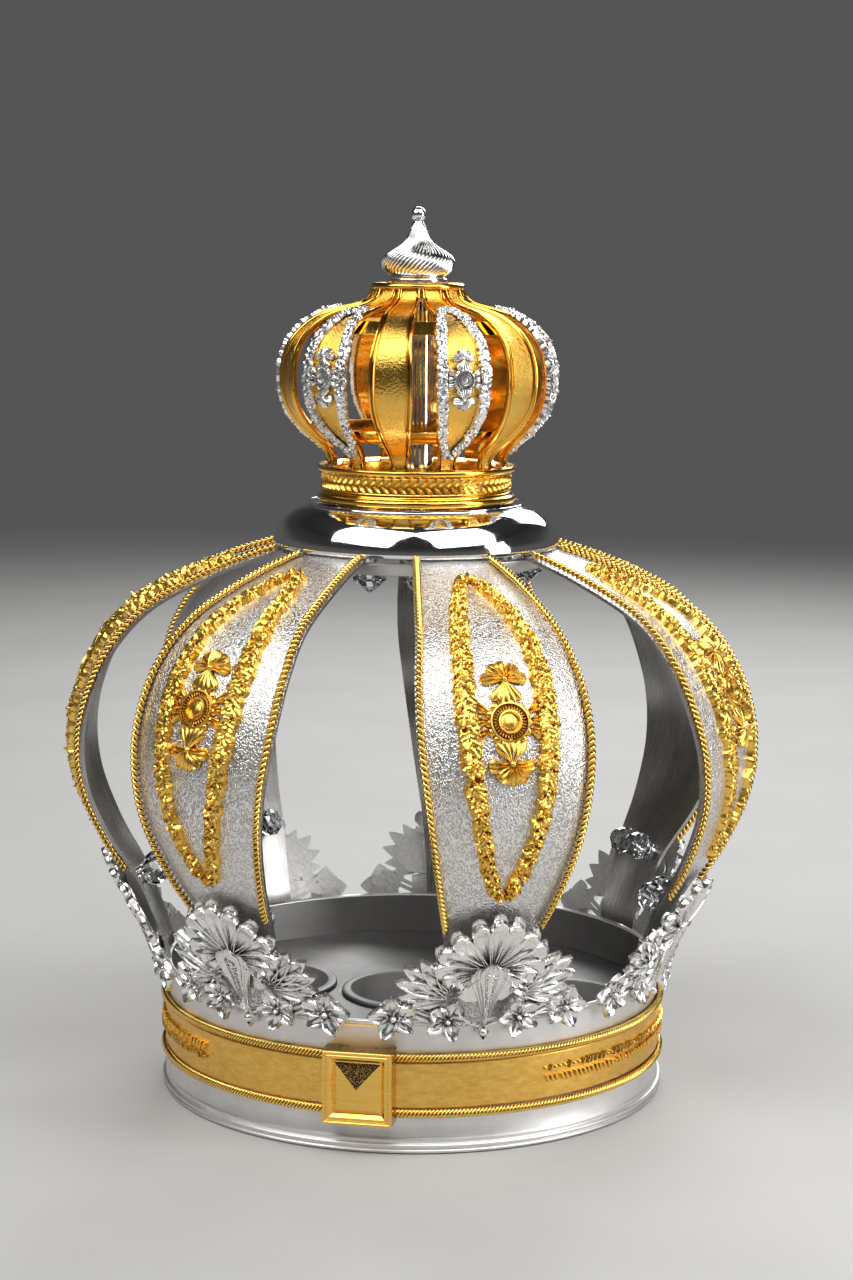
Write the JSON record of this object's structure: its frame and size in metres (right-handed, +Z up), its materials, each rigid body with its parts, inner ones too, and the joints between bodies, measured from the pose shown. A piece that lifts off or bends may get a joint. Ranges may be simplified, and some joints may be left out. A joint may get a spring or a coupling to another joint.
{
  "type": "torah crown",
  "caption": "Silver and gold openwork crown for a scroll: banded round base, arched ribs with scroll panels, palmette leaves, polished dome and a small gold crown with a fluted finial.",
  "frame": {"origin": "centre of the foot ring's underside, on the axis of the crown", "axes": "+Z up along the crown's axis; -Y towards the clasp on the band; +X to the right of someone facing the clasp"},
  "size_m": [0.2722, 0.2695, 0.3443],
  "materials": {
    "silver": "polished silver, stippled on the ribs",
    "satin_silver": "satin, circular brushing",
    "bright_silver": "bright cast or mirror silver",
    "gold": "bright polished gold plate",
    "brushed_gold": "gold plate, brushed along the band",
    "crystal": "clear faceted crystal"
  },
  "bodies": {
    "root": {"band_buckle": "gold", "band_rope_lower": "gold", "band_rope_upper": "gold", "base_ring": "silver", "centre_rod": "gold", "collar": "silver", "dome": "bright_silver", "finial": "bright_silver", "gold_band": "brushed_gold", "leaf_1": "bright_silver", "leaf_2": "bright_silver", "leaf_3": "bright_silver", "leaf_4": "bright_silver", "leaf_5": "bright_silver", "leaf_6": "bright_silver", "leaf_7": "bright_silver", "roller_plate": "satin_silver", "roller_sleeve_left": "satin_silver", "roller_sleeve_middle": "satin_silver", "roller_sleeve_right": "satin_silver", "small_crown_base": "gold", "small_crown_frame": "gold", "small_hoop_lower": "gold", "small_hoop_upper": "gold", "small_scroll_1": "bright_silver", "small_scroll_2": "bright_silver", "small_scroll_3": "bright_silver", "small_scroll_4": "bright_silver", "small_scroll_5": "bright_silver", "small_scroll_6": "bright_silver", "stave_1": "silver", "stave_2": "silver", "stave_3": "silver", "stave_4": "silver", "stave_5": "silver", "stave_6": "silver", "stave_7": "silver", "stave_rope_1_left": "gold", "stave_rope_1_right": "gold", "stave_rope_2_left": "gold", "stave_rope_2_right": "gold", "stave_rope_3_left": "gold", "stave_rope_3_right": "gold", "stave_rope_4_left": "gold", "stave_rope_4_right": "gold", "stave_rope_5_left": "gold", "stave_rope_5_right": "gold", "stave_rope_6_left": "gold", "stave_rope_6_right": "gold", "stave_rope_7_left": "gold", "stave_rope_7_right": "gold", "stave_scroll_1": "gold", "stave_scroll_2": "gold", "stave_scroll_3": "gold", "stave_scroll_4": "gold", "stave_scroll_5": "gold", "stave_scroll_6": "gold", "stave_scroll_7": "gold"}
  },
  "joints": []
}
